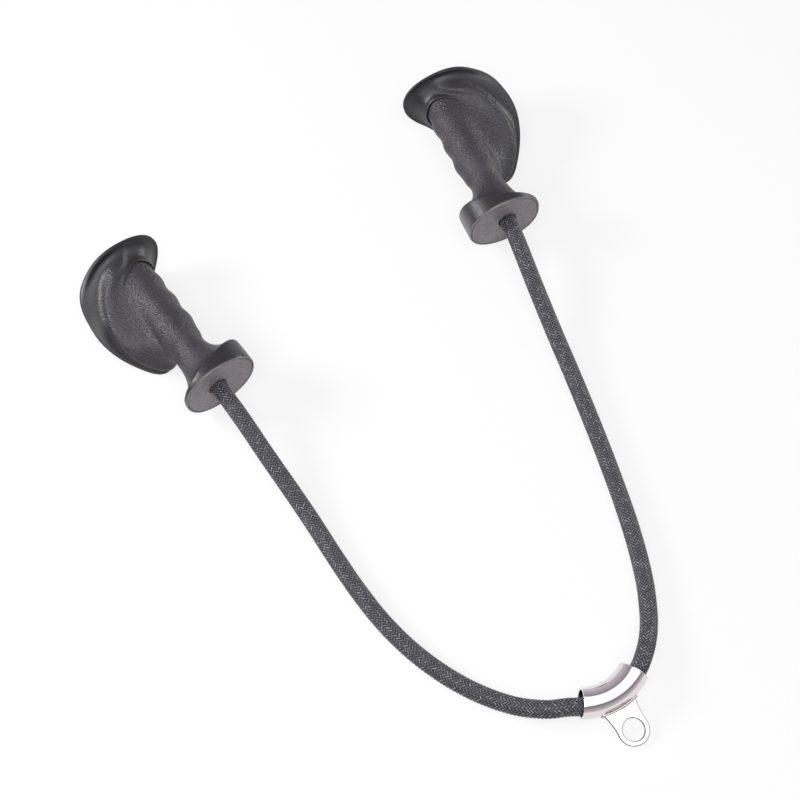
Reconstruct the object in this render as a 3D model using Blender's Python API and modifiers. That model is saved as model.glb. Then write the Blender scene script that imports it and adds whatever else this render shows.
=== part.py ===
"""Triceps rope attachment: two moulded hand grips on one braided rope that runs
through a bent steel sleeve with a carabiner lug.

The object lies on its resting surface, z = 0, as it is photographed: the sleeve
towards -Y, the grips towards +Y. All lengths are metres, all angles degrees.
"""
from math import acos, asin, atan2, cos, pi, radians, sin, tan

import bmesh
import bpy
from mathutils import Matrix, Vector
from mathutils.geometry import interpolate_bezier

# Clearances that everything shares
GAP = 0.0003                  # between pieces that touch
OVERRUN = 0.004               # how far a cutter runs past the face that it opens
MERGE = 0.00001
SMOOTH_ANGLE = 40

# Rope
ROPE_DIAMETER = 0.016
ROPE_POINTS = 80
ROPE_FACET_RESOLUTION = 3
ROPE_SMOOTH_ANGLE = 60
CURVE_STEPS = 24                # steps between two hand-chosen points of the route
BORE_SHARES = (1.0, 0.66, 0.33, 0.0)

# Where the pieces lie: bore centre of each foot face and direction of each grip
GRIP_AXIS_HEIGHT = 0.0345
LEFT_FOOT = (-0.1556, 0.1271)
LEFT_AZIMUTH = 98
RIGHT_FOOT = (0.1608, 0.1594)
RIGHT_AZIMUTH = 86
GRIP_ROLL = 5                   # both grips lie turned about their bores by this much

# The rope's lie between the feet, from the left grip through the sleeve to the right one
LEFT_RUN = [
    (-0.1531, 0.1086, 0.0345), (-0.1498, 0.0847, 0.0310), (-0.1456, 0.0518, 0.0230),
    (-0.1406, 0.0160, 0.0150), (-0.1367, -0.0199, 0.0103), (-0.1341, -0.0570, 0.0083),
    (-0.1309, -0.0939, 0.0080), (-0.1256, -0.1290, 0.0080), (-0.1164, -0.1629, 0.0080),
    (-0.1028, -0.1949, 0.0080), (-0.0853, -0.2237, 0.0082), (-0.0636, -0.2488, 0.0092),
    (-0.0421, -0.2652, 0.0120), (-0.0244, -0.2734, 0.0146),
]
SLEEVE_RUN = [
    (-0.0125, -0.2787, 0.0139), (-0.0001, -0.2816, 0.0127), (0.0135, -0.2820, 0.0123),
    (0.0269, -0.2797, 0.0127), (0.0388, -0.2751, 0.0139),
]
RIGHT_RUN = [
    (0.0498, -0.2682, 0.0146), (0.0649, -0.2538, 0.0118), (0.0758, -0.2391, 0.0092),
    (0.0844, -0.2233, 0.0081), (0.0921, -0.2062, 0.0080), (0.1009, -0.1811, 0.0080),
    (0.1107, -0.1466, 0.0080), (0.1213, -0.1001, 0.0080), (0.1309, -0.0521, 0.0083),
    (0.1391, -0.0040, 0.0103), (0.1456, 0.0440, 0.0160), (0.1514, 0.0912, 0.0265),
    (0.1563, 0.1252, 0.0333), (0.1590, 0.1420, 0.0345),
]

# Foot flange of a grip: a rounded oval, thick on the finger side, thin on the palm side
FOOT_PALM = 0.0337
FOOT_FINGER = 0.0402
FOOT_SIDE = 0.0340
FOOT_SQUARENESS = 2.3
FOOT_WALL_PALM = 0.0037
FOOT_WALL_FINGER = 0.0258
FOOT_WALL_CURVE = 1.5
FOOT_EDGE = 0.0015
FOOT_SLOPE_ANGLES = (60, 30)
ELLIPSE = 2.0

# Neck and column, where the hand closes
NECK_HEIGHT = 0.0476
NECK_RADIUS = 0.0152
COLUMN_FINGER = 0.0210
COLUMN_PALM = 0.0190
COLUMN_SIDE = 0.0192
COLUMN_GROWTH = 0.0120        # height over which the neck widens to the column
GROOVE_PITCH = 0.0246
GROOVE_DEPTH = 0.0028
FIRST_RIDGE = 0.0500
COLUMN_RINGS = 14

# Palm shell: reach and rise of its rim, swell for the palm, valley inside the rim
SHELL_REACH = 0.0625
SHELL_RISE = 0.1590
SHELL_LIP = 0.0030
SWELL_HEIGHT = 0.0055
VALLEY_DEPTH = 0.0060
FLARE = 0.0040                # how far the column widens where it runs into the palm's pad
FLARE_RUN = 0.0220
CROWN_HEIGHT = 0.1665
CROWN_RADIUS = 0.0190

# Rim of the shell, round the bore axis from the palm's lower corner through the side that
# faces up and the finger side: angle, reach share, rise share, share of the way from neck
# to rim where the column ends, share of the way from there where the palm's pad ends,
# swell share, valley share, share of a sharp corner between column and shell
RIM_SHARES = [
    (-68, 0.568, 0.355, 0.50, 0.60, 0.0, 0.15, 0.0),
    (-47, 0.736, 0.343, 0.45, 0.60, 0.2, 0.30, 0.0),
    (-30, 0.791, 0.418, 0.35, 0.62, 0.5, 0.40, 0.0),
    (-16, 0.915, 0.527, 0.28, 0.64, 0.8, 0.50, 0.0),
    (-3, 1.012, 0.641, 0.30, 0.66, 0.9, 0.60, 0.0),
    (7, 1.036, 0.747, 0.36, 0.68, 1.0, 0.70, 0.0),
    (15, 0.941, 0.856, 0.48, 0.66, 0.9, 0.90, 0.0),
    (30, 0.775, 0.929, 0.66, 0.54, 0.6, 0.85, 0.1),
    (50, 0.715, 0.948, 0.80, 0.36, 0.1, 0.70, 0.5),
    (75, 0.653, 0.963, 0.85, 0.40, -0.2, 0.50, 1.0),
    (100, 0.550, 0.995, 0.86, 0.50, -0.4, 0.35, 1.0),
    (125, 0.560, 1.010, 0.86, 0.50, -0.5, 0.25, 1.0),
    (148, 0.650, 0.980, 0.87, 0.50, -0.5, 0.12, 1.0),
    (172, 0.640, 0.973, 0.87, 0.50, -0.5, 0.12, 1.0),
    (196, 0.601, 0.970, 0.87, 0.50, -0.5, 0.12, 1.0),
    (220, 0.542, 0.945, 0.85, 0.50, -0.4, 0.12, 0.8),
    (245, 0.481, 0.890, 0.80, 0.50, -0.3, 0.12, 0.4),
    (270, 0.520, 0.652, 0.62, 0.50, 0.0, 0.12, 0.0),
]
PAD_SHARES = [(0.32, 0.65), (0.62, 1.0), (0.86, 0.9), (1.0, 0.5)]
VALLEY_SHARES = [(0.30, 0.6), (0.70, 1.0)]
BACK_ANGLES = (14, 36, 62)

# Bore of a grip and the stop that holds the rope in it
BORE_DIAMETER = 0.0172
COUNTERBORE_DIAMETER = 0.0300
COUNTERBORE_DEPTH = 0.0180
BORE_SIDES = 24
WASHER_DIAMETER = 0.0286
WASHER_THICKNESS = 0.0025
FERRULE_DIAMETER = 0.0240
FERRULE_CHAMFER = 0.0010
FERRULE_STANDS_BELOW = 0.0012

# Bent steel sleeve and its lug
TUBE_DIAMETER = 0.0269
TUBE_WALL = 0.0020
BEND_RADIUS = 0.0542
BEND_ANGLE = 60
BEND_STEPS = 16
TUBE_FACET_RESOLUTION = 10
SLEEVE_APEX = (0.0134, -0.2806)
SLEEVE_AZIMUTH = 4
DROOP_ROUNDS = 20
LUG_THICKNESS = 0.0040
LUG_EYE_DIAMETER = 0.0195
LUG_END_RADIUS = 0.0139
LUG_EYE_REACH = 0.0338        # from the tube's axis to the eye's centre
LUG_ROOT_WIDTH = 0.0335
LUG_END_STEPS = 16
LUG_EDGE = 0.0006
LUG_EDGE_ANGLE = 50


def clear_scene():
    """Start from nothing."""
    for item in list(bpy.data.objects):
        bpy.data.objects.remove(item, do_unlink=True)


def new_collection(name):
    collection = bpy.data.collections.new(name)
    bpy.context.scene.collection.children.link(collection)
    return collection


def surface(name, colour, roughness, metallic=0.0):
    """A Principled material for one sub-part."""
    material = bpy.data.materials.new(name)
    material.use_nodes = True
    shader = material.node_tree.nodes["Principled BSDF"]
    shader.inputs["Base Color"].default_value = (*colour, 1.0)
    shader.inputs["Roughness"].default_value = roughness
    shader.inputs["Metallic"].default_value = metallic
    return material


def add_part(name, mesh, material, matrix, smooth_angle=SMOOTH_ANGLE):
    """Put a mesh in the part's collection under its node's name."""
    mesh.name = name
    part = bpy.data.objects.new(name, mesh)
    PARTS.objects.link(part)
    part.matrix_world = matrix
    mesh.materials.clear()
    mesh.materials.append(material)
    mesh.shade_smooth()
    mesh.set_sharp_from_angle(angle=radians(smooth_angle))
    return part


def add_cutter(name, mesh, matrix):
    """A cutter is never part of the object."""
    cutter = bpy.data.objects.new(name, mesh)
    CUTTERS.objects.link(cutter)
    cutter.matrix_world = matrix
    cutter.hide_render = True
    cutter.display_type = "WIRE"
    return cutter


def cut(part, cutter, operation="DIFFERENCE"):
    boolean = part.modifiers.new(cutter.name, "BOOLEAN")
    boolean.object = cutter
    boolean.operation = operation
    boolean.solver = "EXACT"
    return boolean


def cylinder_mesh(name, radius, low, high, sides):
    """A closed cylinder about +Z from low to high."""
    shape = bmesh.new()
    bmesh.ops.create_cone(shape, cap_ends=True, segments=sides, radius1=radius, radius2=radius,
                          depth=high - low, matrix=Matrix.Translation((0, 0, (low + high) / 2)))
    mesh = bpy.data.meshes.new(name)
    shape.to_mesh(mesh)
    shape.free()
    return mesh


def tube_mesh(name, points, radius, facet_resolution):
    """A closed tube along points: a bevelled curve made a mesh, its caps welded."""
    curve = bpy.data.curves.new(name, "CURVE")
    curve.dimensions = "3D"
    curve.bevel_depth = radius
    curve.bevel_resolution = facet_resolution
    curve.use_fill_caps = True
    spline = curve.splines.new("POLY")
    spline.points.add(len(points) - 1)
    for control, point in zip(spline.points, points):
        control.co = (*point, 1)
    holder = bpy.data.objects.new(name, curve)
    bpy.context.scene.collection.objects.link(holder)
    bpy.context.view_layer.update()
    depsgraph = bpy.context.evaluated_depsgraph_get()
    mesh = bpy.data.meshes.new_from_object(holder.evaluated_get(depsgraph))
    bpy.data.objects.remove(holder, do_unlink=True)
    bpy.data.curves.remove(curve)
    shape = bmesh.new()
    shape.from_mesh(mesh)
    bmesh.ops.remove_doubles(shape, verts=shape.verts, dist=MERGE)
    bmesh.ops.recalc_face_normals(shape, faces=shape.faces)
    shape.to_mesh(mesh)
    shape.free()
    return mesh


def turned_part(name, profile, sides, material, matrix):
    """A turned piece: a closed profile of (radius, height), top to bottom outside, screwed round."""
    mesh = bpy.data.meshes.new(name)
    mesh.from_pydata([(radius, 0, height) for radius, height in profile],
                     [(i, (i + 1) % len(profile)) for i in range(len(profile))], [])
    part = add_part(name, mesh, material, matrix)
    screw = part.modifiers.new("turn", "SCREW")
    screw.steps = sides
    screw.render_steps = sides
    screw.use_merge_vertices = True
    screw.merge_threshold = MERGE
    screw.use_smooth_shade = False
    return part


def axis_matrix(foot, azimuth):
    """Frame of a grip: z along the bore, x level before the roll, the palm at +x on the left."""
    along = Vector((cos(radians(azimuth)), sin(radians(azimuth)), 0))
    up = Vector((0, 0, 1))
    across = up.cross(along)
    matrix = Matrix((across, up, along)).transposed().to_4x4()
    matrix.translation = (*foot, GRIP_AXIS_HEIGHT)
    return matrix @ Matrix.Rotation(-radians(GRIP_ROLL), 4, "Z")


def oval(angle, palm, finger, side, squareness=ELLIPSE):
    """Radius at an angle of an oval with its own reach to the palm and to the fingers."""
    reach = palm if cos(angle) > 0 else finger
    flat = (abs(cos(angle)) / reach) ** squareness + (abs(sin(angle)) / side) ** squareness
    return flat ** (-1 / squareness)


def foot_wall(angle):
    """Height of the flange's edge: low at the palm, high at the fingers."""
    toward_fingers = (1 - cos(angle)) / 2
    return FOOT_WALL_PALM + (FOOT_WALL_FINGER - FOOT_WALL_PALM) * toward_fingers ** FOOT_WALL_CURVE


def column_radius(angle, height):
    """Column with finger grooves, narrowed at the neck."""
    full = oval(angle, COLUMN_PALM, COLUMN_FINGER, COLUMN_SIDE)
    grown = min(1.0, max(0.0, (height - NECK_HEIGHT) / COLUMN_GROWTH))
    eased = grown * grown * (3 - 2 * grown)
    facing = max(0.0, -cos(angle))
    wave = (1 - cos(2 * pi * (height - FIRST_RIDGE) / GROOVE_PITCH)) / 2
    groove = GROOVE_DEPTH * wave * facing * eased
    return NECK_RADIUS + (full - NECK_RADIUS) * eased - groove


def grip_profile(row):
    """One strip of the grip's cage, as (radius, height) from the foot's centre to the crown's."""
    degrees, reach_share, rise_share, column_share, pad_share, swell_share, valley_share, sharp_share = row
    angle = radians(degrees)
    foot = oval(angle, FOOT_PALM, FOOT_FINGER, FOOT_SIDE, FOOT_SQUARENESS)
    wall = foot_wall(angle)
    rim_radius = SHELL_REACH * reach_share
    rim_height = SHELL_RISE * rise_share
    strip = [(foot / 2, 0), (foot - FOOT_EDGE, 0), (foot, FOOT_EDGE), (foot, wall - FOOT_EDGE),
             (foot - FOOT_EDGE, wall)]
    for slope_angle in FOOT_SLOPE_ANGLES:
        turn = radians(slope_angle)
        strip.append((NECK_RADIUS + (foot - NECK_RADIUS) * (1 - cos(turn)),
                      NECK_HEIGHT - (NECK_HEIGHT - wall) * sin(turn)))
    column_end = NECK_HEIGHT + (rim_height - NECK_HEIGHT) * column_share
    for ring in range(COLUMN_RINGS + 1):
        height = NECK_HEIGHT + (column_end - NECK_HEIGHT) * ring / COLUMN_RINGS
        near_end = max(0.0, 1 - (column_end - height) / FLARE_RUN) ** 2
        strip.append((column_radius(angle, height) + FLARE * near_end * (1 - sharp_share), height))
    start = Vector(strip[-1])
    end = Vector((rim_radius, rim_height))
    across = (end - start).normalized()
    outward = Vector((across.y, -across.x))
    for share, height_share in PAD_SHARES:
        lift = outward * SWELL_HEIGHT * swell_share * height_share
        strip.append(tuple(start.lerp(end, pad_share * share) + lift))
    for share, depth_share in VALLEY_SHARES:
        drop = outward * VALLEY_DEPTH * valley_share * depth_share
        strip.append(tuple(start.lerp(end, pad_share + (1 - pad_share) * share) - drop))
    strip.append(tuple(end - across * SHELL_LIP))
    strip.append(tuple(end + outward * SHELL_LIP / 2))
    strip.append(tuple(end - outward * SHELL_LIP / 2 + across * SHELL_LIP / 2))
    for degrees_back in BACK_ANGLES:
        turn = radians(degrees_back)
        strip.append((CROWN_RADIUS + (rim_radius - CROWN_RADIUS) * cos(turn),
                      rim_height + (CROWN_HEIGHT - rim_height) * sin(turn)))
    strip.append((CROWN_RADIUS, CROWN_HEIGHT))
    strip.append((CROWN_RADIUS / 2, CROWN_HEIGHT))
    return strip


def grip_mesh(name, side):
    """The grip's coarse cage; the right grip is the left one mirrored.

    The underside is trimmed flat enough for either hand to lie rolled on the resting surface.
    """
    shape = bmesh.new()
    foot_centre = shape.verts.new((0, 0, 0))
    crown_centre = shape.verts.new((0, 0, CROWN_HEIGHT))
    strips = []
    for row in RIM_SHARES:
        angle = radians(row[0])
        strip = []
        for radius, height in grip_profile(row):
            across = radius * cos(angle)
            upward = max(radius * sin(angle), abs(across) * tan(radians(GRIP_ROLL)) - FOOT_SIDE)
            strip.append(shape.verts.new((side * across, upward, height)))
        strips.append(strip)
    for here, after in zip(strips, strips[1:] + strips[:1]):
        shape.faces.new((foot_centre, after[0], here[0]))
        shape.faces.new((crown_centre, here[-1], after[-1]))
        for ring in range(len(here) - 1):
            shape.faces.new((here[ring], after[ring], after[ring + 1], here[ring + 1]))
    bmesh.ops.recalc_face_normals(shape, faces=shape.faces)
    mesh = bpy.data.meshes.new(name)
    shape.to_mesh(mesh)
    shape.free()
    return mesh


def build_grip(hand, foot, azimuth, side, finish):
    """One moulded grip with its rope bore and the counterbore for the stop."""
    matrix = axis_matrix(foot, azimuth)
    grip = add_part(hand + "_grip", grip_mesh(hand + "_grip", side), finish["rubber"], matrix)
    smooth = grip.modifiers.new("moulded", "SUBSURF")
    smooth.levels = 1
    smooth.render_levels = 1
    bore = cylinder_mesh("bore", BORE_DIAMETER / 2, -OVERRUN, CROWN_HEIGHT, BORE_SIDES)
    pocket = cylinder_mesh("pocket", COUNTERBORE_DIAMETER / 2, CROWN_HEIGHT - COUNTERBORE_DEPTH,
                           CROWN_HEIGHT + OVERRUN, BORE_SIDES)
    cut(grip, add_cutter(hand + "_bore_cutter", bore, matrix))
    cut(grip, add_cutter(hand + "_pocket_cutter", pocket, matrix))

    floor = CROWN_HEIGHT - COUNTERBORE_DEPTH + GAP
    washer_top = floor + WASHER_THICKNESS
    turned_part(hand + "_stop_washer",
                [(WASHER_DIAMETER / 2, washer_top), (WASHER_DIAMETER / 2, floor),
                 (BORE_DIAMETER / 2, floor), (BORE_DIAMETER / 2, washer_top)],
                BORE_SIDES, finish["steel"], matrix)
    bottom = washer_top + GAP
    top = CROWN_HEIGHT - FERRULE_STANDS_BELOW
    inner = ROPE_DIAMETER / 2 + GAP
    outer = FERRULE_DIAMETER / 2
    turned_part(hand + "_rope_ferrule",
                [(inner, top), (outer - FERRULE_CHAMFER, top), (outer, top - FERRULE_CHAMFER),
                 (outer, bottom + FERRULE_CHAMFER), (outer - FERRULE_CHAMFER, bottom), (inner, bottom)],
                BORE_SIDES, finish["aluminium"], matrix)
    return matrix


def smooth_route(points, count):
    """Evenly spaced points on one smooth curve through the hand-chosen points."""
    vectors = [Vector(point) for point in points]
    fine = []
    for i in range(len(vectors) - 1):
        before = vectors[max(i - 1, 0)]
        after = vectors[min(i + 2, len(vectors) - 1)]
        start, end = vectors[i], vectors[i + 1]
        span = (end - start).length / 3
        handle_out = start + (end - before).normalized() * span
        handle_in = end - (after - start).normalized() * span
        fine += interpolate_bezier(start, handle_out, handle_in, end, CURVE_STEPS)[:-1]
    fine.append(vectors[-1])
    lengths = [0.0]
    for here, after in zip(fine, fine[1:]):
        lengths.append(lengths[-1] + (after - here).length)
    spaced = []
    place = 0
    for i in range(count):
        target = lengths[-1] * i / (count - 1)
        while place < len(lengths) - 2 and lengths[place + 1] < target:
            place += 1
        share = (target - lengths[place]) / (lengths[place + 1] - lengths[place])
        spaced.append(fine[place].lerp(fine[place + 1], share))
    return spaced, lengths[-1]


def build_rope(left_matrix, right_matrix, finish):
    """One rope from ferrule to ferrule, through both grips and the sleeve."""
    end_height = CROWN_HEIGHT - FERRULE_STANDS_BELOW
    stations = [end_height * share for share in BORE_SHARES]
    left_bore = [left_matrix @ Vector((0, 0, height)) for height in stations]
    right_bore = [right_matrix @ Vector((0, 0, height)) for height in reversed(stations)]
    route = left_bore + LEFT_RUN + SLEEVE_RUN + RIGHT_RUN + right_bore
    points, length = smooth_route(route, ROPE_POINTS)
    add_part("rope", tube_mesh("rope", points, ROPE_DIAMETER / 2, ROPE_FACET_RESOLUTION),
             finish["braid"], Matrix.Identity(4), ROPE_SMOOTH_ANGLE)
    print(f"rope length {length:.3f} m in {len(points)} points")


def sleeve_matrix():
    """Frame of the sleeve: x along the mouths' chord, y away from the lug, z square to the bend.

    The bend's plane leans towards the lug until the lug's tip meets the resting surface.
    """
    reach = LUG_EYE_REACH + LUG_END_RADIUS
    droop = 0.0
    for _ in range(DROOP_ROUNDS):
        droop = asin((TUBE_DIAMETER / 2 - LUG_THICKNESS / 2 * cos(droop)) / reach)
    turn = Matrix.Rotation(radians(SLEEVE_AZIMUTH), 4, "Z") @ Matrix.Rotation(droop, 4, "X")
    apex = Vector((*SLEEVE_APEX, TUBE_DIAMETER / 2))
    return Matrix.Translation(apex + turn @ Vector((0, BEND_RADIUS, 0))) @ turn


def bend_points(radius, half_angle, steps, straight=0.0):
    """Points on an arc about the bend's centre, with an optional straight run past each end."""
    points = []
    for i in range(steps + 1):
        angle = -half_angle + 2 * half_angle * i / steps
        points.append(Vector((radius * sin(angle), -radius * cos(angle), 0)))
    if straight:
        along = Vector((cos(half_angle), sin(half_angle), 0))
        mirror = Vector((along.x, -along.y, 0))
        points = [points[0] - mirror * straight] + points + [points[-1] + along * straight]
    return points


def build_sleeve(finish):
    """The bent tube, open at both mouths."""
    matrix = sleeve_matrix()
    half = radians(BEND_ANGLE / 2)
    outer = tube_mesh("sleeve_tube", bend_points(BEND_RADIUS, half, BEND_STEPS), TUBE_DIAMETER / 2,
                      TUBE_FACET_RESOLUTION)
    inner = tube_mesh("sleeve_bore", bend_points(BEND_RADIUS, half, BEND_STEPS, OVERRUN),
                      TUBE_DIAMETER / 2 - TUBE_WALL, TUBE_FACET_RESOLUTION)
    tube = add_part("sleeve_tube", outer, finish["polished"], matrix)
    cut(tube, add_cutter("sleeve_bore_cutter", inner, matrix))
    return matrix


def lug_outline():
    """Half-open outline of the lug in the bend's plane: root corners and a round end."""
    eye = Vector((0, -(BEND_RADIUS + LUG_EYE_REACH)))
    corner = Vector((LUG_ROOT_WIDTH / 2, -(BEND_RADIUS + TUBE_DIAMETER / 4)))
    away = corner - eye
    first = atan2(away.y, away.x) - acos(LUG_END_RADIUS / away.length)
    points = [corner]
    for i in range(LUG_END_STEPS + 1):
        angle = first + (-pi - 2 * first) * i / LUG_END_STEPS
        points.append(eye + Vector((cos(angle), sin(angle))) * LUG_END_RADIUS)
    points.append(Vector((-corner.x, corner.y)))
    return points


def build_lug(matrix, finish):
    """The flat lug with its eye, its root cut to the tube's outside."""
    outline = lug_outline()
    shape = bmesh.new()
    low = [shape.verts.new((*point, -LUG_THICKNESS / 2)) for point in outline]
    face = shape.faces.new(low)
    raised = bmesh.ops.extrude_face_region(shape, geom=[face])
    lifted = [item for item in raised["geom"] if isinstance(item, bmesh.types.BMVert)]
    bmesh.ops.translate(shape, verts=lifted, vec=(0, 0, LUG_THICKNESS))
    bmesh.ops.recalc_face_normals(shape, faces=shape.faces)
    mesh = bpy.data.meshes.new("carabiner_lug")
    shape.to_mesh(mesh)
    shape.free()
    lug = add_part("carabiner_lug", mesh, finish["polished"], matrix)

    eye_place = matrix @ Matrix.Translation((0, -(BEND_RADIUS + LUG_EYE_REACH), 0))
    eye = cylinder_mesh("eye", LUG_EYE_DIAMETER / 2, -LUG_THICKNESS, LUG_THICKNESS, BORE_SIDES)
    cut(lug, add_cutter("eye_cutter", eye, eye_place))
    edge = lug.modifiers.new("edge", "BEVEL")
    edge.width = LUG_EDGE
    edge.segments = 1
    edge.limit_method = "ANGLE"
    edge.angle_limit = radians(LUG_EDGE_ANGLE)

    half = radians(BEND_ANGLE / 2)
    clear = tube_mesh("lug_root", bend_points(BEND_RADIUS, half, BEND_STEPS, OVERRUN),
                      TUBE_DIAMETER / 2 + GAP, TUBE_FACET_RESOLUTION)
    cut(lug, add_cutter("lug_root_cutter", clear, matrix))


def main():
    finish = {
        "rubber": surface("moulded_rubber", (0.045, 0.045, 0.050), 0.55),
        "braid": surface("braided_polyester", (0.035, 0.034, 0.040), 0.85),
        "steel": surface("zinc_plated_steel", (0.60, 0.60, 0.62), 0.35, 1.0),
        "aluminium": surface("crimped_aluminium", (0.70, 0.70, 0.72), 0.40, 1.0),
        "polished": surface("polished_stainless_steel", (0.75, 0.75, 0.76), 0.12, 1.0),
    }
    left = build_grip("left", LEFT_FOOT, LEFT_AZIMUTH, 1, finish)
    right = build_grip("right", RIGHT_FOOT, RIGHT_AZIMUTH, -1, finish)
    build_rope(left, right, finish)
    build_lug(build_sleeve(finish), finish)


clear_scene()
PARTS = new_collection("triceps_rope_attachment")
CUTTERS = new_collection("cutters")
main()
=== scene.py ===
# %% [markdown]
# # A triceps rope attachment
# Two moulded rubber grips hang on one braided rope, which runs through a bent tube of polished
# stainless steel with a lug for a snap hook. The CAD frame gives every place and size, so this
# lesson only dresses it: a finer shape where the solids are plain, a real finish everywhere, and
# the soft white studio that such a product is photographed in.

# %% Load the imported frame
from math import acos, asin, atan2, cos, pi, radians, sin, tan

import bmesh
import bpy
import numpy as np
from mathutils import Matrix, Vector
from mathutils.geometry import interpolate_bezier


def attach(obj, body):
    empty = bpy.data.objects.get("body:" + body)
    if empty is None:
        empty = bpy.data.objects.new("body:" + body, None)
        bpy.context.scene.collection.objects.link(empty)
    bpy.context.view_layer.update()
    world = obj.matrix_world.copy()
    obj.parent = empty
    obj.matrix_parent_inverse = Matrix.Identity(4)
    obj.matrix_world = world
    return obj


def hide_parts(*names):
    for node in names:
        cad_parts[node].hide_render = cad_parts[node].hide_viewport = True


MM = 0.001


def show(name, data):
    """Put a mesh, a curve, a light or a camera into the scene under a name."""
    thing = bpy.data.objects.new(name, data)
    bpy.context.scene.collection.objects.link(thing)
    return thing


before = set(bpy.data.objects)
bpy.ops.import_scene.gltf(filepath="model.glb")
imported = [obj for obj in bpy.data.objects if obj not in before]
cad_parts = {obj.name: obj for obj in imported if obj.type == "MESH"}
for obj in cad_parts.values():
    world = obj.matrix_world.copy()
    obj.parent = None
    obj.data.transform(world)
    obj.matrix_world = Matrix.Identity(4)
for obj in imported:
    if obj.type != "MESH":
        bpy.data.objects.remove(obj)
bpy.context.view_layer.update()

# %% [markdown]
# The camera comes first, because every later choice is checked through it. The photograph looks
# down at the object from the lower left with a long lens. Its place was solved from the outlines of
# both grips, so here it is only written down: the focal length in pixels becomes a lens in
# millimetres on a 36 mm sensor.

# %% Camera
PHOTO_SIDE = 800
FOCAL_PIXELS = 1858
SENSOR_WIDTH = 36
CAMERA_PLACE = (-0.378, -0.6386, 1.508)
CAMERA_TILT = 27.5
CAMERA_TURN = -28

camera_data = bpy.data.cameras.new("photo_camera")
camera_data.sensor_width = SENSOR_WIDTH
camera_data.lens = FOCAL_PIXELS / PHOTO_SIDE * SENSOR_WIDTH
camera = show("photo_camera", camera_data)
camera.location = CAMERA_PLACE
camera.rotation_euler = (radians(CAMERA_TILT), 0, radians(CAMERA_TURN))
bpy.context.scene.camera = camera
print("camera lens:", round(camera_data.lens, 2), "mm")

# %% [markdown]
# The rope's line is the one that the CAD solid follows: out of the left ferrule, down through the
# grip's bore, in one loose curve over the floor, through the sleeve, and up into the right grip.
# The same points are repeated here. A Bezier piece between each two gives a line with no corners,
# which is then cut into even steps.

# %% The rope's line
CURVE_STEPS = 24
BORE_SHARES = (1.0, 0.66, 0.33, 0.0)
CROWN_HEIGHT = 0.1665
FERRULE_STANDS_BELOW = 0.0012
GRIP_AXIS_HEIGHT = 0.0345
GRIP_ROLL = 5
LEFT_FOOT, LEFT_AZIMUTH = (-0.1556, 0.1271), 98
RIGHT_FOOT, RIGHT_AZIMUTH = (0.1608, 0.1594), 86
LEFT_RUN = [
    (-0.1531, 0.1086, 0.0345), (-0.1498, 0.0847, 0.0310), (-0.1456, 0.0518, 0.0230),
    (-0.1406, 0.0160, 0.0150), (-0.1367, -0.0199, 0.0103), (-0.1341, -0.0570, 0.0083),
    (-0.1309, -0.0939, 0.0080), (-0.1256, -0.1290, 0.0080), (-0.1164, -0.1629, 0.0080),
    (-0.1028, -0.1949, 0.0080), (-0.0853, -0.2237, 0.0082), (-0.0636, -0.2488, 0.0092),
    (-0.0421, -0.2652, 0.0120), (-0.0244, -0.2734, 0.0146),
]
SLEEVE_RUN = [
    (-0.0125, -0.2787, 0.0139), (-0.0001, -0.2816, 0.0127), (0.0135, -0.2820, 0.0123),
    (0.0269, -0.2797, 0.0127), (0.0388, -0.2751, 0.0139),
]
RIGHT_RUN = [
    (0.0498, -0.2682, 0.0146), (0.0649, -0.2538, 0.0118), (0.0758, -0.2391, 0.0092),
    (0.0844, -0.2233, 0.0081), (0.0921, -0.2062, 0.0080), (0.1009, -0.1811, 0.0080),
    (0.1107, -0.1466, 0.0080), (0.1213, -0.1001, 0.0080), (0.1309, -0.0521, 0.0083),
    (0.1391, -0.0040, 0.0103), (0.1456, 0.0440, 0.0160), (0.1514, 0.0912, 0.0265),
    (0.1563, 0.1252, 0.0333), (0.1590, 0.1420, 0.0345),
]


def grip_frame(foot, azimuth):
    """Frame of a grip: z along its bore from the foot's face, the palm at +x on the left grip."""
    along = Vector((cos(radians(azimuth)), sin(radians(azimuth)), 0))
    up = Vector((0, 0, 1))
    matrix = Matrix((up.cross(along), up, along)).transposed().to_4x4()
    matrix.translation = (*foot, GRIP_AXIS_HEIGHT)
    return matrix @ Matrix.Rotation(-radians(GRIP_ROLL), 4, "Z")


def fine_line(points):
    """Closely spaced points on one smooth curve through the given points."""
    vectors = [Vector(point) for point in points]
    fine = []
    for i in range(len(vectors) - 1):
        before, after = vectors[max(i - 1, 0)], vectors[min(i + 2, len(vectors) - 1)]
        start, end = vectors[i], vectors[i + 1]
        span = (end - start).length / 3
        handle_out = start + (end - before).normalized() * span
        handle_in = end - (after - start).normalized() * span
        fine += interpolate_bezier(start, handle_out, handle_in, end, CURVE_STEPS)[:-1]
    return np.array([tuple(point) for point in fine + [vectors[-1]]])


def even_points(line, count):
    """The line cut into equal steps, and its length."""
    steps = np.linalg.norm(np.diff(line, axis=0), axis=1)
    travelled = np.concatenate(([0.0], np.cumsum(steps)))
    wanted = np.linspace(0.0, travelled[-1], count)
    places = [np.interp(wanted, travelled, line[:, i]) for i in range(3)]
    return np.stack(places, axis=1), travelled[-1]


left_frame = grip_frame(LEFT_FOOT, LEFT_AZIMUTH)
right_frame = grip_frame(RIGHT_FOOT, RIGHT_AZIMUTH)
bore_stations = [(CROWN_HEIGHT - FERRULE_STANDS_BELOW) * share for share in BORE_SHARES]
rope_line = fine_line(
    [left_frame @ Vector((0, 0, height)) for height in bore_stations] + LEFT_RUN + SLEEVE_RUN
    + RIGHT_RUN + [right_frame @ Vector((0, 0, height)) for height in reversed(bore_stations)]
)
print("rope line:", len(rope_line), "points")

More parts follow.
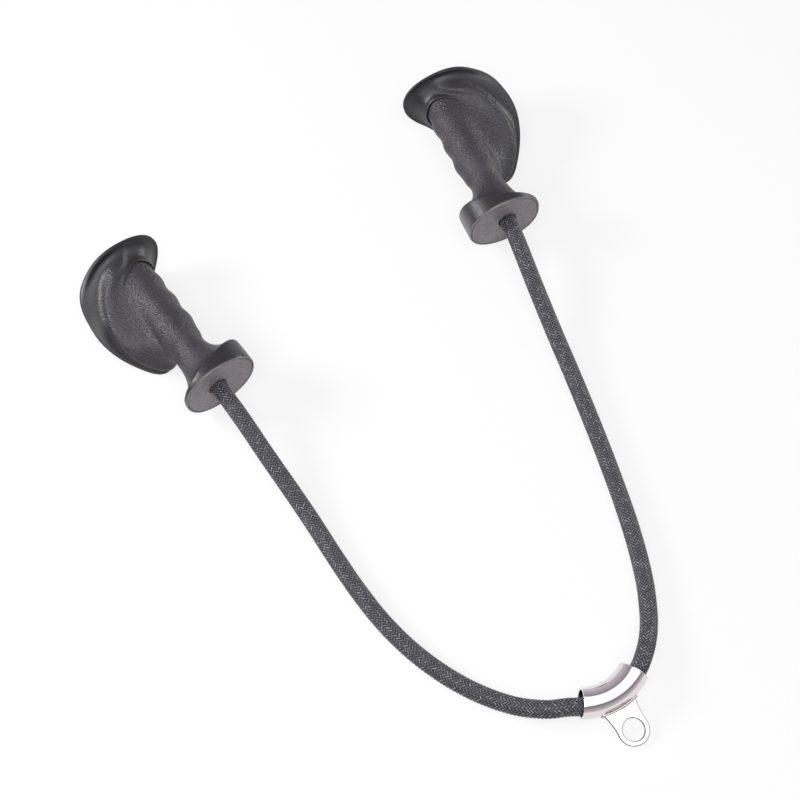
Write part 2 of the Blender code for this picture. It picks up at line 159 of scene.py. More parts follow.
# %% [markdown]
# A braided rope is a tube of yarn bundles that cross over two, under two, so the eye sees columns
# of small slanting stitches. Real strands could be modelled one by one, but over 1.3 m they make a
# very heavy mesh that looks no better. Here the tube's grid is laid along the strands themselves,
# on the diagonal, with a point on each crest, each crossing and each gap. Every face then belongs
# to one strand, and the weave is real relief at four points a stitch. The real rope has about forty
# bundles: here they are a fifth wider, because finer stitches blur away in places.

# %% Braid the rope
STRANDS_EACH_WAY = 16         # 32 bundles in all, each 2.2 mm wide on a 16 mm rope
GAP_RADIUS = 0.0072           # at the bottom of the gaps between the strands
CREST_RADIUS = 0.00797
SLOPE_HEIGHTS = np.array([0.05, 0.50, 0.93])   # beside a crest: strand under, diving, on top
FLOATS_ROUND = STRANDS_EACH_WAY // 2
TONE_ROWS = 997
DRAW = np.random.default_rng(16)


def right_hand_over(i, j):
    """Whether right-hand strand i lies over left-hand strand j: over two, under two."""
    return (i + j) % 4 < 2


def carried_frames(points):
    """Tangents and two cross directions that are carried along the line without twisting."""
    tangents = np.gradient(points, axis=0)
    tangents /= np.linalg.norm(tangents, axis=1)[:, None]
    side = np.cross(tangents[0], (0.0, 0.0, 1.0))
    sides = []
    for tangent in tangents:
        side = side - tangent * side.dot(tangent)
        side = side / np.linalg.norm(side)
        sides.append(side)
    sides = np.array(sides)
    return sides, np.cross(tangents, sides)


def braid_mesh(name, line):
    """The braided tube: rings half a stitch apart, every second point of each ring in use."""
    around = 4 * STRANDS_EACH_WAY
    step = 2 * pi * CREST_RADIUS / around
    rings = int(round(even_points(line, 2)[1] / step)) + 1
    centres, length = even_points(line, rings)
    sides, ups = carried_frames(centres)
    ring = np.arange(rings)[:, None]
    place = 2 * np.arange(around // 2)[None, :] + ring % 2
    # Half strands counted across each diagonal: both odd is a crossing, both even is a gap
    k, l = (place + ring) // 2, (place - ring) // 2
    on_right, on_left = k % 2 == 1, l % 2 == 1
    height = np.where(on_right & on_left, 1.0, 0.0)
    i, j = (k - 1) // 2, l // 2
    right_count = right_hand_over(i, j - 1).astype(int) + right_hand_over(i, j)
    height = np.where(on_right & ~on_left, SLOPE_HEIGHTS[right_count], height)
    i, j = k // 2, (l - 1) // 2
    left_count = 2 - right_hand_over(i - 1, j).astype(int) - right_hand_over(i, j)
    height = np.where(~on_right & on_left, SLOPE_HEIGHTS[left_count], height)
    radius = GAP_RADIUS + (CREST_RADIUS - GAP_RADIUS) * height
    angle = 2 * pi * place / around
    points = (centres[:, None, :] + (radius * np.cos(angle))[..., None] * sides[:, None, :]
              + (radius * np.sin(angle))[..., None] * ups[:, None, :]).reshape(-1, 3)
    ends = [len(points), len(points) + 1]
    points = np.vstack([points, centres[:1], centres[-1:]])

    def number(r, m):
        return r * (around // 2) + (m % around - r % 2) // 2

    r, m = np.broadcast_arrays(ring[1:-1], place[1:-1])
    r, m = r.ravel(), m.ravel()
    stitches = np.stack([number(r, m), number(r - 1, m + 1), number(r, m + 2),
                         number(r + 1, m + 1)], 1)
    faces = [tuple(face) for face in stitches.tolist()]
    last = rings - 1
    for m_end in range(0, around, 2):
        faces.append((number(0, m_end), number(0, m_end + 2), number(1, m_end + 1)))
        faces.append((number(0, m_end + 2), number(0, m_end), ends[0]))
    for m_end in range(last % 2, around + last % 2, 2):
        faces.append((number(last, m_end + 2), number(last, m_end), number(last - 1, m_end + 1)))
        faces.append((number(last, m_end), number(last, m_end + 2), ends[1]))
    mesh = bpy.data.meshes.new(name)
    mesh.from_pydata(points.tolist(), [], faces)

    # Which strand each face shows, how light that stitch is, and where the face lies on it
    k, l = (m + r) // 2, (m - r) // 2
    over = right_hand_over(k // 2, l // 2)
    tones = DRAW.random((2, TONE_ROWS, FLOATS_ROUND))
    stitch_row = np.where(over, k // 2, l // 2) % TONE_ROWS
    stitch_tone = tones[over.astype(int), stitch_row, ((k // 2 + l // 2) // 4) % FLOATS_ROUND]
    tone = mesh.attributes.new("stitch_tone", "FLOAT", "FACE")
    tone.data.foreach_set("value", np.concatenate([stitch_tone, np.zeros(len(faces) - len(r))]))
    depth = mesh.attributes.new("crest", "FLOAT", "POINT")
    depth.data.foreach_set("value", np.concatenate([height.ravel(), np.zeros(2)]))
    corners_k, corners_l = k[:, None] + np.array([0, 0, 1, 1]), l[:, None] + np.array([0, 1, 1, 0])
    across = np.where(over[:, None], corners_k, corners_l) / 2
    along = np.where(over[:, None], corners_l, corners_k) / 2
    uv = np.zeros((len(mesh.loops), 2))
    uv[:4 * len(r)] = np.stack([across, along], 2).reshape(-1, 2)
    mesh.uv_layers.new(name="strand").data.foreach_set("uv", uv.ravel())
    mesh.shade_smooth()
    print(name, len(points), "points,", len(faces), "faces, length", round(length, 4), "m")
    return mesh, centres, length


braid, braid_line, rope_length = braid_mesh("braided_rope", rope_line)
braided_rope = show("braided_rope", braid)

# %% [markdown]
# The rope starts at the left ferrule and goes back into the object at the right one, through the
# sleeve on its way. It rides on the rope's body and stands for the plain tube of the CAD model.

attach(braided_rope, "rope")
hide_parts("rope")

# %% [markdown]
# Each grip is one moulding with three parts that flow into each other: a flat foot, a waisted
# column with finger grooves, and a shell that wraps the heel of the palm, with a raised pad and a
# trough inside its rim. The cage is built as the CAD model's is, from strips of points round the
# bore's axis, one for each angle, with the rim and the pad set closer to the photograph. A closed
# strip that also runs down through the bore turns the cage into a ring, so one Subdivision Surface
# gives the whole moulding with its bore and no cuts.

# %% Sizes of a grip
FOOT_PALM, FOOT_FINGER, FOOT_SIDE, FOOT_SQUARENESS = 0.0337, 0.0402, 0.0340, 2.3
FOOT_WALL_PALM, FOOT_WALL_FINGER, FOOT_WALL_CURVE = 0.0037, 0.0258, 1.5
FOOT_SLOPE_ANGLES = (60, 30)
NECK_HEIGHT, NECK_RADIUS = 0.0476, 0.0152
COLUMN_FINGER, COLUMN_PALM, COLUMN_SIDE, COLUMN_GROWTH = 0.0210, 0.0190, 0.0192, 0.0120
GROOVE_PITCH, GROOVE_DEPTH, FIRST_RIDGE, COLUMN_RINGS = 0.0246, 0.0028, 0.0500, 14
SHELL_REACH, SHELL_RISE, SHELL_LIP = 0.0625, 0.1590, 0.0026
RIM_TUCK = 0.0004             # the rolled rim stands back by this, inside the solid's edge
SWELL_HEIGHT, VALLEY_DEPTH, CROWN_RADIUS = 0.0060, 0.0062, 0.0190
# Profiles of the shell's inside, as shares of a run and of a height or depth: of the pad up to its
# end, of the hollow from the column to the rim where there is no pad, and of the trough beyond it
PAD_SHARES = [(0.38, 0.05), (0.60, 0.45), (0.80, 0.95), (1.0, 0.80)]
HOLLOW_SHARES = [(0.20, 0.35), (0.32, 0.68), (0.44, 0.90), (0.56, 1.0), (0.68, 0.96), (0.79, 0.80),
                 (0.88, 0.55)]
VALLEY_SHARES = [(0.25, 0.35), (0.52, 0.95), (0.78, 0.85)]
# Where the pad swells most, the lower grain number also paints the rubber darker: painted shade.
PAD_GRAIN = 0.75              # the grain is shallower where the pad is highest
RIM_DROP = 0.3                # share of the valley that is left just inside the rim
FLARE, FLARE_RUN = 0.0055, 0.0300       # the column widens into the pad by this, over this height
BACK_ANGLES = (14, 36, 62)
ELLIPSE = 2.0
BORE_RADIUS, POCKET_RADIUS, POCKET_DEPTH = 0.0086, 0.0150, 0.0180
SOFT_EDGE = 0.0007            # the small radius that a mould leaves on an edge
CROWN_TOP = CROWN_HEIGHT - SOFT_EDGE / 2

# Rim of the shell: angle, reach share, rise share, where the column ends, where the palm's
# pad ends, swell, valley, collar
RIM_SHARES = [
    (-68, 0.568, 0.355, 0.50, 0.60, 0.0, 0.15, 0.0),
    (-47, 0.736, 0.343, 0.45, 0.58, 0.2, 0.25, 0.0),
    (-30, 0.791, 0.418, 0.35, 0.58, 0.5, 0.34, 0.0),
    (-16, 0.915, 0.527, 0.28, 0.58, 0.8, 0.50, 0.0),
    (-3, 0.998, 0.641, 0.30, 0.56, 0.9, 0.60, 0.0),
    (7, 1.013, 0.752, 0.358, 0.54, 1.0, 0.74, 0.0),
    (15, 0.931, 0.889, 0.453, 0.52, 1.0, 0.84, 0.0),
    (30, 0.746, 0.969, 0.620, 0.50, 1.0, 0.86, 0.0),
    (50, 0.664, 0.997, 0.744, 0.40, 0.75, 0.78, 0.2),
    (75, 0.595, 1.004, 0.800, 0.32, 0.25, 0.68, 0.8),
    (100, 0.517, 1.019, 0.828, 0, 0, 0.62, 1.0),
    (125, 0.526, 1.026, 0.839, 0, 0, 0.68, 1.0),
    (148, 0.603, 1.012, 0.828, 0, 0, 0.70, 1.0),
    (172, 0.620, 0.998, 0.839, 0, 0, 0.66, 1.0),
    (196, 0.597, 0.983, 0.853, 0, 0, 0.58, 1.0),
    (220, 0.542, 0.945, 0.85, 0, 0, 0.50, 0.8),
    (245, 0.481, 0.890, 0.80, 0, 0, 0.35, 0.4),
    (270, 0.520, 0.652, 0.62, 0, 0, 0.12, 0.0),
]
print("strips round a grip:", len(RIM_SHARES))

# %% [markdown]
# Three small forms give a moulding its crisp lines, and the camera sees each as a thin light and
# dark pair: a lip with a groove inside it round the foot's face, a collar where the column runs
# into the shell, and the rolled rim of the shell. They are points of the cage, not bump, so that
# they hold from every side. The grip also carries a number per point, from 0 to 1, that says how
# grained the mould was there: the hand's surfaces are textured, the trough and the back are smooth.
# The same number darkens the colour where it is low, so it also carries painted shade, deepest
# towards the bottom of the trough.

# %% One strip of the cage
GROOVE_SINK = 0.0012          # a groove runs round the face, inside a narrow lip
FACE_LIP = [(0.0050, 0.0), (0.0031, 0.0), (0.0028, 0.3), (0.0025, 1.0), (0.0019, 1.0),
            (0.0016, 0.3), (0.0013, 0.0), (0.0009, 0.0)]       # inset, sink share
FACE_GRAIN, WALL_GRAIN, SHOULDER_GRAIN = 0.5, 0.1, 0.4
LIP_CHAMFER = 0.0013          # slopes towards the light, so it draws a bright line round the foot
COLLAR_HEIGHT = 0.0020
COLLAR_STEPS = [(0.0003, 0.1), (0.0006, 0.95), (0.0013, 1.0), (0.0027, 0.5)]  # run, height share
SOFT_STEPS = [(0.05, 0.0), (0.12, 0.0), (0.20, 0.0), (0.28, 0.01)]      # where there is no collar


def oval(angle, palm, finger, side, squareness=ELLIPSE):
    """Radius at an angle of an oval with its own reach to the palm and to the fingers."""
    reach = palm if cos(angle) > 0 else finger
    flat = (abs(cos(angle)) / reach) ** squareness + (abs(sin(angle)) / side) ** squareness
    return flat ** (-1 / squareness)


def column_radius(angle, height):
    """Column with finger grooves, narrowed at the neck."""
    full = oval(angle, COLUMN_PALM, COLUMN_FINGER, COLUMN_SIDE)
    grown = min(1.0, max(0.0, (height - NECK_HEIGHT) / COLUMN_GROWTH))
    eased = grown * grown * (3 - 2 * grown)
    wave = (1 - cos(2 * pi * (height - FIRST_RIDGE) / GROOVE_PITCH)) / 2
    groove = GROOVE_DEPTH * wave * max(0.0, -cos(angle)) * eased
    return NECK_RADIUS + (full - NECK_RADIUS) * eased - groove


def foot_points(angle, bore):
    """From the bore over the foot's face, its grooved lip and its wall up to the neck."""
    foot = oval(angle, FOOT_PALM, FOOT_FINGER, FOOT_SIDE, FOOT_SQUARENESS)
    toward_fingers = (1 - cos(angle)) / 2
    wall = FOOT_WALL_PALM + (FOOT_WALL_FINGER - FOOT_WALL_PALM) * toward_fingers ** FOOT_WALL_CURVE
    points = [(bore, 4 * SOFT_EDGE, 0), (bore, SOFT_EDGE, 0), (bore + SOFT_EDGE, 0, FACE_GRAIN),
              ((bore + foot) / 2, 0, FACE_GRAIN)]
    points += [(foot - inset, GROOVE_SINK * share, FACE_GRAIN) for inset, share in FACE_LIP]
    points += [(foot - SOFT_EDGE, SOFT_EDGE / 4, 0), (foot, LIP_CHAMFER, 0),
               (foot, LIP_CHAMFER + SOFT_EDGE, 0), (foot, wall - SOFT_EDGE, WALL_GRAIN),
               (foot - SOFT_EDGE, wall, SHOULDER_GRAIN)]
    for slope_angle in FOOT_SLOPE_ANGLES:
        turn = radians(slope_angle)
        points.append((NECK_RADIUS + (foot - NECK_RADIUS) * (1 - cos(turn)),
                       NECK_HEIGHT - (NECK_HEIGHT - wall) * sin(turn), 1))
    return points


def shell_points(angle, start, row):
    """From the column's end over the collar and the pad to the rim, and back to the crown."""
    reach, rise, pad, swell, valley, collar = row[1], row[2], *row[4:]
    end = Vector((SHELL_REACH * reach, SHELL_RISE * rise))
    across = (end - start).normalized()
    outward = Vector((across.y, -across.x))
    grain = 1 - collar
    points = []

    def add(place, grain_here):
        points.append((*place, grain_here))

    if collar:
        for run, share in COLLAR_STEPS:
            add(start + across * run + outward * COLLAR_HEIGHT * share * collar, grain)
    else:
        for share, lift in SOFT_STEPS:
            add(start.lerp(end, pad * share) + outward * SWELL_HEIGHT * swell * lift, grain)
    if pad:
        for share, lift in PAD_SHARES:
            add(start.lerp(end, pad * share) + outward * SWELL_HEIGHT * swell * lift,
                grain * min(1.0, PAD_GRAIN + 1 - swell))
    sink = outward * VALLEY_DEPTH * valley
    # The grain number falls as the trough deepens, so the trough is painted darker towards its
    # bottom: painted shade.
    for share, depth in VALLEY_SHARES if pad else HOLLOW_SHARES:
        add(start.lerp(end, pad + (1 - pad) * share) - sink * depth, grain * (1 - depth))
    add(end - across * SHELL_LIP - sink * RIM_DROP, 0)
    add(end - across * RIM_TUCK, 0)
    add(end - across * RIM_TUCK - outward * SHELL_LIP, 0)
    for degrees_back in BACK_ANGLES:
        turn = radians(degrees_back)
        add((CROWN_RADIUS + (end.x - CROWN_RADIUS) * cos(turn),
             end.y + (CROWN_TOP - end.y) * sin(turn)), 0)
    add((CROWN_RADIUS, CROWN_TOP), 0)
    return points


def bore_points(bore, pocket):
    """From the crown's edge down the pocket to its floor and on through the bore."""
    floor = CROWN_HEIGHT - POCKET_DEPTH
    return [(pocket + SOFT_EDGE, CROWN_HEIGHT, 0), (pocket, CROWN_HEIGHT - SOFT_EDGE, 0),
            (pocket, floor + SOFT_EDGE, 0), (pocket - SOFT_EDGE, floor, 0),
            (bore + SOFT_EDGE, floor, 0), (bore, floor - SOFT_EDGE, 0), (bore, floor / 2, 0)]


def grip_strip(place):
    """One closed strip of (radius, height, grain) at one angle of the cage."""
    row = RIM_SHARES[place]
    angle = radians(row[0])
    before = radians(RIM_SHARES[place - 1][0])
    after = radians(RIM_SHARES[(place + 1) % len(RIM_SHARES)][0])
    # Subdivision pulls a ring in between its points, so round holes are drawn that much larger
    grow = 6 / (4 + cos(angle - before) + cos(after - angle))
    rim_height = SHELL_RISE * row[2]
    column_end = NECK_HEIGHT + (rim_height - NECK_HEIGHT) * row[3]
    column = []
    for ring in range(COLUMN_RINGS + 1):
        height = NECK_HEIGHT + (column_end - NECK_HEIGHT) * ring / COLUMN_RINGS
        near = max(0.0, 1 - (column_end - height) / FLARE_RUN) ** 2
        column.append((column_radius(angle, height) + FLARE * near * (1 - row[-1]), height, 1))
    bore, pocket = BORE_RADIUS * grow, POCKET_RADIUS * grow
    return (foot_points(angle, bore) + column + shell_points(angle, Vector(column[-1][:2]), row)
            + bore_points(bore, pocket))


print("points in one strip:", len(grip_strip(0)))

# %% [markdown]
# The strips become a ring of quads. The grips lie on their sides, so the underside of the cage is
# trimmed to the floor as in the CAD model. The right grip is the left one mirrored. Three levels of
# subdivision bring the facets under the size of a pixel.

# %% Mould both grips
GRIP_LEVELS = 3
FACE_RINGS = 13               # of each strip, from the bore out over the lip
# The foot's face and the low half of its wall are painted pale: painted reflection of the white
# floor that they turn to.
WALL_RINGS, WALL_REFLECTION = 2, 0.7         # some of the bloom reaches up the low half of the wall
LOW_HALF = 0.2                # the sine of the angle up to which the wall counts as low


def smooth_mesh(name, shape):
    """A smooth mesh out of a finished bmesh, with its faces turned outwards."""
    bmesh.ops.recalc_face_normals(shape, faces=shape.faces)
    mesh = bpy.data.meshes.new(name)
    shape.to_mesh(mesh)
    shape.free()
    mesh.shade_smooth()
    return mesh


def grip_cage(name, side):
    """The ring-shaped cage, with its grain number on each point."""
    shape = bmesh.new()
    grain_layer = shape.verts.layers.float.new("grain")
    floor_reflection_layer = shape.verts.layers.float.new("painted_floor_reflection")
    strips = []
    for place, row in enumerate(RIM_SHARES):
        angle = radians(row[0])
        strip = []
        for ring, (radius, height, grain) in enumerate(grip_strip(place)):
            across = radius * cos(angle)
            upward = max(radius * sin(angle), abs(across) * tan(radians(GRIP_ROLL)) - FOOT_SIDE)
            vertex = shape.verts.new((side * across, upward, height))
            vertex[grain_layer] = grain
            # Points of the face, and of the wall's low half, get the painted floor reflection.
            vertex[floor_reflection_layer] = float(0 < ring < FACE_RINGS)
            if FACE_RINGS <= ring <= FACE_RINGS + WALL_RINGS and sin(angle) < LOW_HALF:
                vertex[floor_reflection_layer] = WALL_REFLECTION
            strip.append(vertex)
        strips.append(strip)
    for here, after in zip(strips, strips[1:] + strips[:1]):
        for i in range(len(here)):
            following = (i + 1) % len(here)
            shape.faces.new((here[i], after[i], after[following], here[following]))
    return smooth_mesh(name, shape)


def mould_grip(hand, matrix, side):
    """One grip on its body, smoothed from its cage; side is -1 for the mirrored one."""
    name = hand + "_moulded_grip"
    grip = show(name, grip_cage(name, side))
    grip.data.transform(matrix)
    moulding = grip.modifiers.new("moulding", "SUBSURF")
    moulding.levels = moulding.render_levels = GRIP_LEVELS
    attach(grip, hand + "_grip")
    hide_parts(hand + "_grip")
    print(grip.name, len(grip.data.polygons), "cage faces")
    return grip


left_moulded_grip = mould_grip("left", left_frame, 1)
right_moulded_grip = mould_grip("right", right_frame, -1)

# %% [markdown]
# The sleeve is a short bent tube, cut square at both mouths, deburred and mirror polished. A mirror
# shows every facet, so the tube is swept here at 96 points round and closed over the wall at each
# mouth with a small radius, which gives the bright ring that the mouths have.

# %% Bend the sleeve
TUBE_RADIUS, TUBE_WALL, BEND_RADIUS, BEND_ANGLE = 0.01345, 0.0020, 0.0542, 60
SLEEVE_APEX, SLEEVE_AZIMUTH, DROOP_ROUNDS = (0.0134, -0.2806), 4, 20
LUG_THICKNESS, LUG_EYE_RADIUS, LUG_END_RADIUS = 0.0040, 0.00975, 0.0139
LUG_EYE_REACH, LUG_ROOT_WIDTH = 0.0338, 0.0335
TUBE_AROUND, BEND_STEPS = 96, 64
MOUTH_EDGE, MOUTH_STEPS = 0.0005, 4


def sleeve_frame():
    """Frame of the sleeve: its bend's plane leans until the lug's tip meets the floor."""
    reach = LUG_EYE_REACH + LUG_END_RADIUS
    droop = 0.0
    for _ in range(DROOP_ROUNDS):
        droop = asin((TUBE_RADIUS - LUG_THICKNESS / 2 * cos(droop)) / reach)
    turn = Matrix.Rotation(radians(SLEEVE_AZIMUTH), 4, "Z") @ Matrix.Rotation(droop, 4, "X")
    apex = Vector((*SLEEVE_APEX, TUBE_RADIUS))
    return Matrix.Translation(apex + turn @ Vector((0, BEND_RADIUS, 0))) @ turn


def bend_point(bend, radius, around):
    """Point on a tube of that radius about the bend's line."""
    out = Vector((sin(bend), -cos(bend), 0))
    return out * (BEND_RADIUS + radius * cos(around)) + Vector((0, 0, radius * sin(around)))


def ring_mesh(name, rings):
    """Quads between rings of points, from the last ring back to the first too."""
    shape = bmesh.new()
    loops = [[shape.verts.new(point) for point in ring] for ring in rings]
    for here, after in zip(loops, loops[1:] + loops[:1]):
        for i in range(len(here)):
            following = (i + 1) % len(here)
            shape.faces.new((here[i], here[following], after[following], after[i]))
    return smooth_mesh(name, shape)


def sleeve_stations():
    """Bend angle and radius of each ring: outside, mouth, inside, mouth."""
    half = radians(BEND_ANGLE / 2) - MOUTH_EDGE / BEND_RADIUS
    run = [half * (2 * i / BEND_STEPS - 1) for i in range(BEND_STEPS + 1)]
    outside = [(bend, TUBE_RADIUS) for bend in run]
    inside = [(bend, TUBE_RADIUS - TUBE_WALL) for bend in reversed(run)]
    turns = [pi / 2 * i / MOUTH_STEPS for i in range(1, MOUTH_STEPS + 1)]
    mouth = [(MOUTH_EDGE * sin(t), TUBE_RADIUS - MOUTH_EDGE * (1 - cos(t))) for t in turns]
    mouth += [(MOUTH_EDGE * sin(t), TUBE_RADIUS - TUBE_WALL + MOUTH_EDGE * (1 - cos(t)))
              for t in reversed(turns)]
    far = [(half + ahead / BEND_RADIUS, radius) for ahead, radius in mouth]
    near = [(-bend, radius) for bend, radius in reversed(far)]
    return outside + far + inside + near


sleeve_matrix = sleeve_frame()
sleeve_rings = [[bend_point(bend, radius, 2 * pi * i / TUBE_AROUND) for i in range(TUBE_AROUND)]
                for bend, radius in sleeve_stations()]
polished_sleeve = show("polished_sleeve", ring_mesh("polished_sleeve", sleeve_rings))
polished_sleeve.data.transform(sleeve_matrix)
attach(polished_sleeve, "sleeve")
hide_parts("sleeve_tube")
print("sleeve rings:", len(sleeve_rings))

# %% [markdown]
# The lug is cut from flat plate with slightly waisted sides, and polishing breaks its edges. A flat
# curve with the hole as a second spline fills itself, and its own extrude and bevel give the
# thickness and the rounded edges, which is simpler than cutting a hole out of a mesh. Its root runs
# into the tube's wall, where the weld hides it.

# %% Cut the lug
LUG_EDGE, LUG_EDGE_STEPS = 0.0008, 4
LUG_END_STEPS, LUG_EYE_STEPS, LUG_ROOT_STEPS = 48, 64, 12
LUG_ROOT_SINK = 0.0009        # how far the root runs into the tube's wall
LUG_WAIST_TURN, LUG_ROOT_FLARE = radians(12), radians(12)
LUG_SIDE_STEPS, ROOT_SEARCH_STEP = 12, 0.002
CUT_FACE_SLOPE = 0.93         # faces steeper than this are the cut edge, not the polished face
JOIN_DISTANCE, SHARP_ANGLE = MM / 1000, radians(30)
EYE_CENTRE = Vector((0, -(BEND_RADIUS + LUG_EYE_REACH)))


def lug_outline():
    """Outline of the lug in the bend's plane, its root an arc inside the tube's wall."""
    root_radius = BEND_RADIUS + TUBE_RADIUS - LUG_ROOT_SINK
    corner = Vector((LUG_ROOT_WIDTH / 2, -(BEND_RADIUS + TUBE_RADIUS / 2)))
    away = corner - EYE_CENTRE
    touch = atan2(away.y, away.x) - acos(LUG_END_RADIUS / away.length)
    low = EYE_CENTRE + Vector((cos(touch), sin(touch))) * LUG_END_RADIUS
    share = 0.0
    while low.lerp(corner, share).length > root_radius:
        share += ROOT_SEARCH_STEP
    root = low.lerp(corner, share)
    half = atan2(root.x, -root.y)
    # The round end runs on past where a straight side would touch it, and a curve from there flares
    # out to the root
    first = touch + LUG_WAIST_TURN
    start = EYE_CENTRE + Vector((cos(first), sin(first))) * LUG_END_RADIUS
    reach = (root - start).length
    leave = Vector((-sin(first), cos(first))) * reach
    flare = atan2(corner.y - low.y, corner.x - low.x) - LUG_ROOT_FLARE
    arrive = Vector((cos(flare), sin(flare))) * reach
    side = []
    for i in range(1, LUG_SIDE_STEPS):
        t = i / LUG_SIDE_STEPS
        side.append(start * (1 + 2 * t) * (1 - t) ** 2 + leave * t * (1 - t) ** 2
                    + root * t ** 2 * (3 - 2 * t) - arrive * t ** 2 * (1 - t))
    points = side[::-1]
    for i in range(LUG_END_STEPS + 1):
        angle = first + (-pi - 2 * first) * i / LUG_END_STEPS
        points.append(EYE_CENTRE + Vector((cos(angle), sin(angle))) * LUG_END_RADIUS)
    points += [Vector((-point.x, point.y)) for point in side]
    for i in range(LUG_ROOT_STEPS + 1):
        turn = -half + 2 * half * i / LUG_ROOT_STEPS
        points.append(Vector((sin(turn), -cos(turn))) * root_radius)
    return points, half


def lug_mesh(name, outlines):
    """The flat plate with its hole and rounded edges, from closed outlines in its plane."""
    curve = bpy.data.curves.new(name, "CURVE")
    curve.dimensions = "2D"
    curve.fill_mode = "BOTH"
    curve.extrude = LUG_THICKNESS / 2 - LUG_EDGE
    curve.bevel_depth, curve.offset = LUG_EDGE, -LUG_EDGE
    curve.bevel_resolution = LUG_EDGE_STEPS
    for outline in outlines:
        spline = curve.splines.new("POLY")
        spline.points.add(len(outline) - 1)
        spline.use_cyclic_u = True
        for control, point in zip(spline.points, outline):
            control.co = (point.x, point.y, 0, 1)
    holder = show(name + "_curve", curve)
    bpy.context.view_layer.update()
    evaluated = holder.evaluated_get(bpy.context.evaluated_depsgraph_get())
    mesh = bpy.data.meshes.new_from_object(evaluated)
    bpy.data.objects.remove(holder, do_unlink=True)
    bpy.data.curves.remove(curve)
    shape = bmesh.new()
    shape.from_mesh(mesh)
    bmesh.ops.remove_doubles(shape, verts=shape.verts, dist=JOIN_DISTANCE)
    bmesh.ops.recalc_face_normals(shape, faces=shape.faces)
    shape.to_mesh(mesh)
    shape.free()
    mesh.shade_smooth()
    mesh.set_sharp_from_angle(angle=SHARP_ANGLE)
    mesh.name = name
    for face in mesh.polygons:
        face.material_index = int(abs(face.normal.z) < CUT_FACE_SLOPE)
    return mesh


lug_points, root_half = lug_outline()
eye_turns = [2 * pi * i / LUG_EYE_STEPS for i in range(LUG_EYE_STEPS)]
eye_points = [EYE_CENTRE + Vector((cos(turn), sin(turn))) * LUG_EYE_RADIUS for turn in eye_turns]
polished_lug = show("polished_lug", lug_mesh("polished_lug", [lug_points, eye_points]))
polished_lug.data.transform(sleeve_matrix)
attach(polished_lug, "sleeve")
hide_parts("carabiner_lug")
print("lug:", len(polished_lug.data.polygons), "faces, root half angle", round(root_half, 3))

# %% [markdown]
# The lug is welded to the tube all round its root. A hand weld is a row of small overlapping
# ripples, so the bead is swept as a closed loop on the tube's surface, with its thickness rising
# and falling once per ripple.

# %% Lay the weld
BEAD_RADIUS, RIPPLE_PITCH, RIPPLE_SHARE = 0.0012, 0.0012, 0.08
BEAD_RINGS, BEAD_AROUND = 480, 16
BEAD_CORNER = 0.0008
BEAD_LIFT = 0.15              # how far its middle stands off the tube, as a share of its radius
BEAD_HEADINGS = [(1, 0), (0, -1), (-1, 0), (0, 1)]      # along and across the tube, side by side


def weld_line(share):
    """Point on the bead's way round the lug's root, direction off the tube, the whole length."""
    side = (LUG_THICKNESS + BEAD_CORNER) / 2
    run = 2 * root_half * (BEND_RADIUS + TUBE_RADIUS) + BEAD_CORNER
    legs = [run - 2 * BEAD_CORNER, 2 * side - 2 * BEAD_CORNER] * 2
    quarter = pi / 2 * BEAD_CORNER
    total = sum(legs) + 4 * quarter
    travel = share * total
    x, z = BEAD_CORNER - run / 2, side
    for i, leg in enumerate(legs):
        (dx, dz), (turn_x, turn_z) = BEAD_HEADINGS[i], BEAD_HEADINGS[(i + 1) % 4]
        ahead = min(travel, leg)
        turn = min(max(travel - leg, 0.0), quarter) / BEAD_CORNER
        x += dx * ahead + BEAD_CORNER * (dx * sin(turn) + turn_x * (1 - cos(turn)))
        z += dz * ahead + BEAD_CORNER * (dz * sin(turn) + turn_z * (1 - cos(turn)))
        travel -= leg + quarter
        if travel <= 0:
            break
    bend = x / (BEND_RADIUS + TUBE_RADIUS)
    around = asin(z / TUBE_RADIUS)
    away = Vector((sin(bend) * cos(around), -cos(bend) * cos(around), sin(around)))
    return bend_point(bend, TUBE_RADIUS + BEAD_RADIUS * BEAD_LIFT, around), away, total


weld_length = weld_line(0.0)[2]
ripples = round(weld_length / RIPPLE_PITCH)
weld_stations = [weld_line(i / BEAD_RINGS) for i in range(BEAD_RINGS)]
bead_turns = [2 * pi * n / BEAD_AROUND for n in range(BEAD_AROUND)]
weld_rings = []
for i, (centre, away, _) in enumerate(weld_stations):
    ahead = weld_stations[(i + 1) % BEAD_RINGS][0] - weld_stations[i - 1][0]
    sideways = ahead.normalized().cross(away)
    phase = (i / BEAD_RINGS * ripples) % 1.0
    radius = BEAD_RADIUS * (1 + RIPPLE_SHARE * (phase ** 2 - 0.5))
    weld_rings.append([centre + (away * cos(turn) + sideways * sin(turn)) * radius
                       for turn in bead_turns])
lug_weld = show("lug_weld", ring_mesh("lug_weld", weld_rings))
lug_weld.data.transform(sleeve_matrix)
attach(lug_weld, "sleeve")
print("weld:", round(weld_length / MM, 1), "mm long,", ripples, "ripples")

# %% [markdown]
# Colours are written as a designer would pick them, as sRGB hex, and one function turns them into
# the linear values that the shaders work in. Another feeds a node's inputs, and a third adds any
# node with its settings, so each material below is only a few readable lines.

# %% Helpers for materials
HEX_TOP = 255
SRGB_KNEE, SRGB_SLOPE, SRGB_SHIFT, SRGB_POWER = 0.04045, 12.92, 0.055, 2.4


def linear(hex_colour):
    """Linear RGBA of an sRGB hex colour."""
    channels = []
    for i in (0, 2, 4):
        value = int(hex_colour[i:i + 2], 16) / HEX_TOP
        channels.append(value / SRGB_SLOPE if value <= SRGB_KNEE
                        else ((value + SRGB_SHIFT) / (1 + SRGB_SHIFT)) ** SRGB_POWER)
    return (*channels, 1.0)


def feed(node, inputs):
    """Give each input a value, the socket that feeds it, or a node, for its first output."""
    for name, value in inputs.items():
        if isinstance(value, bpy.types.Node):
            value = value.outputs[0]
        if isinstance(value, bpy.types.NodeSocket):
            node.id_data.links.new(value, node.inputs[name])
        else:
            node.inputs[name].default_value = value


